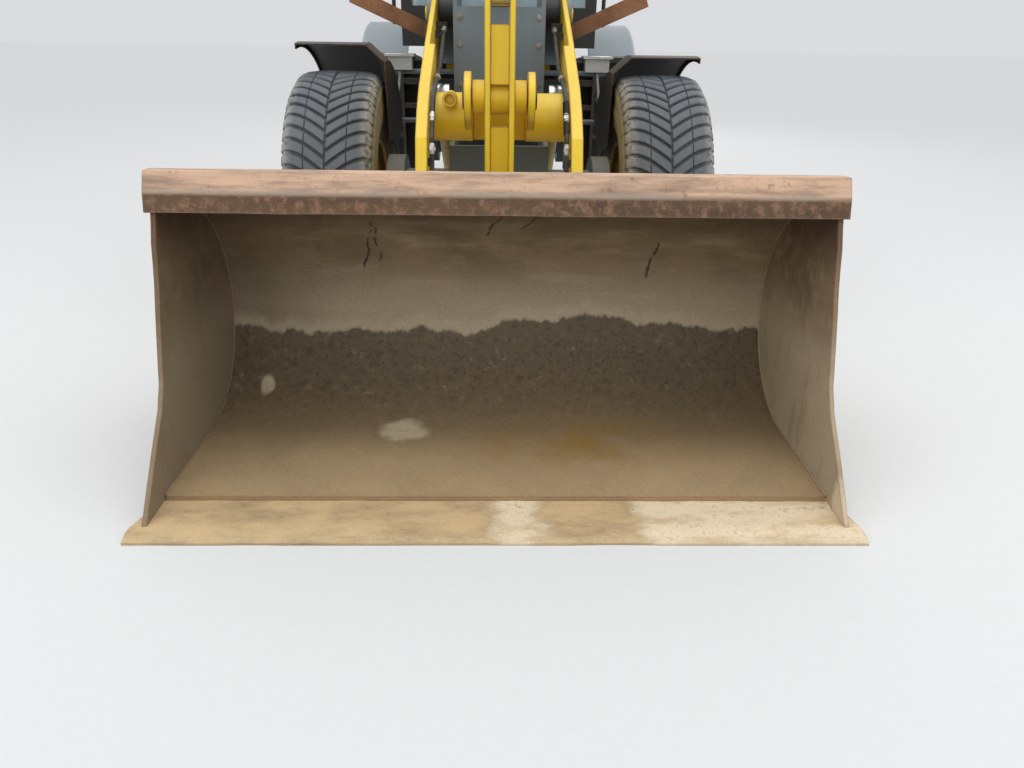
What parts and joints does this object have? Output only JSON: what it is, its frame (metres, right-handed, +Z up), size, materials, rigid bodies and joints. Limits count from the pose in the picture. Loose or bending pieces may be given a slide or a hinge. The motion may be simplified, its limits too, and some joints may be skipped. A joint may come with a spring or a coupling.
{
  "type": "articulated wheel loader",
  "caption": "Worn wheel loader with a wide front bucket on lifting arms, steered by a hinge between its two frames, with a closed cab and a tilting engine hood.",
  "frame": {"origin": "middle of the bounding box's bottom, on the ground under the machine's middle plane", "axes": "+Z up; -Y towards the bucket; +X towards the machine's left side"},
  "size_m": [2.785, 7.6, 3.27],
  "materials": {
    "yellow_paint": "satin paint, chipped and dusty",
    "grey_paint": "satin paint, dusty",
    "dark_paint": "satin paint, dusty",
    "worn_steel": "worn bare steel with dried mud",
    "rusty_steel": "rusted steel",
    "cylinder_paint": "satin paint",
    "chromed_rod": "polished, dusty",
    "tyre_rubber": "worn rubber with dry dirt",
    "rim_paint": "satin paint",
    "glass": "clear, tinted",
    "seat_leather": "matt",
    "black_plastic": "matt",
    "lamp_plastic": "clear lens",
    "tread_metal": "bare, scuffed",
    "hose_rubber": "matt"
  },
  "bodies": {
    "rear_body": {"rear_frame": "grey_paint", "steer_brackets": "grey_paint", "rear_axle": "grey_paint", "counterweight": "grey_paint", "engine": "grey_paint", "gearbox": "grey_paint", "body_mounts": "dark_paint", "cab_frame": "yellow_paint", "cab_glass": "glass", "seat": "seat_leather", "steering_column": "black_plastic", "rear_fenders": "grey_paint", "side_steps": "dark_paint", "side_boxes": "yellow_paint", "handrails": "dark_paint", "mirrors": "black_plastic", "work_lamps": "lamp_plastic"},
    "hood": {"engine_hood": "yellow_paint", "rear_grille": "dark_paint", "exhaust": "dark_paint"},
    "door": {"cab_door": "yellow_paint", "door_glass": "glass"},
    "front_body": {"front_frame": "grey_paint", "tower_ears": "grey_paint", "steer_ears": "grey_paint", "frame_pins": "worn_steel", "front_axle": "grey_paint", "front_fenders": "dark_paint", "front_steps": "tread_metal", "fender_stays": "grey_paint", "lamp_brackets": "rusty_steel", "headlamps": "lamp_plastic"},
    "arms": {"lift_arms": "yellow_paint", "arm_hoses": "hose_rubber", "quick_coupling": "yellow_paint"},
    "bucket_carrier": {"bucket_pins": "worn_steel"},
    "lever_carrier": {"lever_pin": "worn_steel"},
    "link_carrier": {"link_pin": "worn_steel"},
    "crank": {"bell_crank": "yellow_paint"},
    "link": {"tilt_link": "yellow_paint"},
    "bucket": {"bucket_shell": "worn_steel", "bucket_lugs": "worn_steel", "cutting_edge": "worn_steel", "spill_lip": "rusty_steel"},
    "tilt_base": {"tilt_barrel": "cylinder_paint"},
    "tilt_ram": {"tilt_rod": "chromed_rod"},
    "lift_base": {"lift_barrels": "cylinder_paint"},
    "lift_ram": {"lift_rods": "chromed_rod"},
    "steer_base_left": {"steer_barrel_left": "cylinder_paint"},
    "steer_ram_left": {"steer_rod_left": "chromed_rod"},
    "wheel_front_left": {"tyre_front_left": "tyre_rubber", "rim_front_left": "rim_paint"},
    "wheel_rear_left": {"tyre_rear_left": "tyre_rubber", "rim_rear_left": "rim_paint"},
    "steer_base_right": {"steer_barrel_right": "cylinder_paint"},
    "steer_ram_right": {"steer_rod_right": "chromed_rod"},
    "wheel_front_right": {"tyre_front_right": "tyre_rubber", "rim_front_right": "rim_paint"},
    "wheel_rear_right": {"tyre_rear_right": "tyre_rubber", "rim_rear_right": "rim_paint"}
  },
  "joints": [
    {"name": "articulation", "type": "hinge", "parent": "rear_body", "child": "front_body", "pos_m": [0, 0.453, 0.9], "axis": [0, 0, 1], "range_deg": [-38, 38]},
    {"name": "lift", "type": "hinge", "parent": "front_body", "child": "arms", "pos_m": [0, -0.37, 1.82], "axis": [-1, 0, 0], "range_deg": [0, 80]},
    {"name": "bucket_level", "type": "hinge", "parent": "arms", "child": "bucket_carrier", "pos_m": [0, -2.3, 0.4], "axis": [1, 0, 0], "range_deg": [-0.05, 72.05]},
    {"name": "tilt", "type": "hinge", "parent": "bucket_carrier", "child": "bucket", "pos_m": [0, -2.3, 0.4], "axis": [1, 0, 0], "range_deg": [-39, 45]},
    {"name": "lever_swing", "type": "hinge", "parent": "arms", "child": "lever_carrier", "pos_m": [0, -1.86, 1.413], "axis": [1, 0, 0], "range_deg": [-14.45, 0.05]},
    {"name": "lever_tilt", "type": "hinge", "parent": "lever_carrier", "child": "crank", "pos_m": [0, -1.86, 1.413], "axis": [1, 0, 0], "range_deg": [-9.95, 8.63]},
    {"name": "link_swing", "type": "hinge", "parent": "bucket", "child": "link_carrier", "pos_m": [0, -2.37, 0.648], "axis": [1, 0, 0], "range_deg": [-29.11, 0.05]},
    {"name": "link_tilt", "type": "hinge", "parent": "link_carrier", "child": "link", "pos_m": [0, -2.37, 0.648], "axis": [1, 0, 0], "range_deg": [-33.92, 29.4]},
    {"name": "tilt_cylinder_swing", "type": "hinge", "parent": "front_body", "child": "tilt_base", "pos_m": [0, -0.65, 1.98], "axis": [1, 0, 0], "range_deg": [-98.8, 0.05]},
    {"name": "tilt_rod_slide", "type": "slide", "parent": "tilt_base", "child": "tilt_ram", "axis": [0, -0.999, -0.0456], "range_m": [-0.0926, 0.0805]},
    {"name": "lift_cylinder_swing", "type": "hinge", "parent": "front_body", "child": "lift_base", "pos_m": [0, -0.2, 0.72], "axis": [1, 0, 0], "range_deg": [-32.75, 0.05]},
    {"name": "lift_rod_slide", "type": "slide", "parent": "lift_base", "child": "lift_ram", "axis": [0, -0.8266, 0.5628], "range_m": [-0.002, 0.7975]},
    {"name": "steer_cylinder_swing_left", "type": "hinge", "parent": "rear_body", "child": "steer_base_left", "pos_m": [0.5, 1.3, 0.82], "axis": [0, 0, 1], "range_deg": [-2.23, 2.23]},
    {"name": "steer_rod_slide_left", "type": "slide", "parent": "steer_base_left", "child": "steer_ram_left", "axis": [-0.183, -0.9831, 0], "range_m": [-0.2143, 0.2143]},
    {"name": "steer_cylinder_swing_right", "type": "hinge", "parent": "rear_body", "child": "steer_base_right", "pos_m": [-0.5, 1.3, 0.82], "axis": [0, 0, 1], "range_deg": [-2.23, 2.23]},
    {"name": "steer_rod_slide_right", "type": "slide", "parent": "steer_base_right", "child": "steer_ram_right", "axis": [0.183, -0.9831, 0], "range_m": [-0.2143, 0.2143]},
    {"name": "cab_door", "type": "hinge", "parent": "rear_body", "child": "door", "pos_m": [0.752, 1.26, 2.3], "axis": [0, 0, 1], "range_deg": [0, 100]},
    {"name": "engine_hood", "type": "hinge", "parent": "rear_body", "child": "hood", "pos_m": [0, 3.59, 1.42], "axis": [-1, 0, 0], "range_deg": [0, 45]},
    {"name": "wheel_spin_front_left", "type": "hinge", "parent": "front_body", "child": "wheel_front_left", "pos_m": [0.975, -1.047, 0.745], "axis": [1, 0, 0], "continuous": true},
    {"name": "wheel_spin_front_right", "type": "hinge", "parent": "front_body", "child": "wheel_front_right", "pos_m": [-0.975, -1.047, 0.745], "axis": [1, 0, 0], "continuous": true},
    {"name": "wheel_spin_rear_left", "type": "hinge", "parent": "rear_body", "child": "wheel_rear_left", "pos_m": [0.975, 1.953, 0.745], "axis": [1, 0, 0], "continuous": true},
    {"name": "wheel_spin_rear_right", "type": "hinge", "parent": "rear_body", "child": "wheel_rear_right", "pos_m": [-0.975, 1.953, 0.745], "axis": [1, 0, 0], "continuous": true}
  ],
  "couplings": [
    {"joint": "bucket_level", "follows": "lift", "ratio": 0.9},
    {"joint": "lever_swing", "follows": "lift", "ratio": -0.18},
    {"joint": "lever_tilt", "follows": "tilt", "ratio": -0.22},
    {"joint": "link_swing", "follows": "lift", "ratio": -0.3633},
    {"joint": "link_tilt", "follows": "tilt", "ratio": -0.7526},
    {"joint": "tilt_cylinder_swing", "follows": "lift", "ratio": -1.2344},
    {"joint": "tilt_rod_slide", "follows": "tilt", "m_per_rad": -0.1153},
    {"joint": "lift_cylinder_swing", "follows": "lift", "ratio": -0.40876},
    {"joint": "lift_rod_slide", "follows": "lift", "m_per_rad": 0.56976},
    {"joint": "steer_cylinder_swing_left", "follows": "articulation", "ratio": 0.057497},
    {"joint": "steer_rod_slide_left", "follows": "articulation", "m_per_rad": -0.32004},
    {"joint": "steer_cylinder_swing_right", "follows": "articulation", "ratio": 0.057497},
    {"joint": "steer_rod_slide_right", "follows": "articulation", "m_per_rad": 0.32004}
  ]
}
